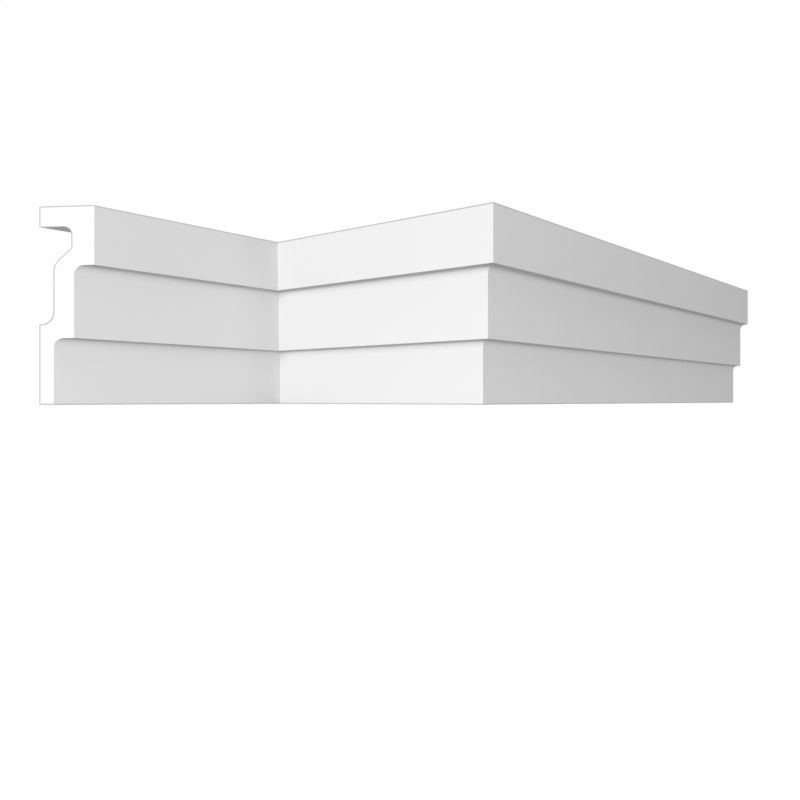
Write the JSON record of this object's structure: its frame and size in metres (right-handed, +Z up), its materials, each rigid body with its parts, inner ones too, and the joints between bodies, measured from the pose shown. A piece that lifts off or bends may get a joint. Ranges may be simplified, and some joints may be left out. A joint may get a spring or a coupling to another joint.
{
  "type": "cornice moulding",
  "caption": "Plain stepped-fascia cornice moulding with a hollow back, mitred round an internal and an external corner, to be fixed along the top of a wall.",
  "frame": {"origin": "middle of the run's bounding box, on the plane of the underside", "axes": "+X along the two outer lengths from left to right, +Y from their fronts towards the wall, +Z up"},
  "size_m": [1.154, 0.364, 0.2],
  "materials": {
    "white_primer": "matt white primer over moulded rigid foam"
  },
  "bodies": {
    "root": {"left_length": "white_primer", "return_length": "white_primer", "right_length": "white_primer"}
  },
  "joints": []
}
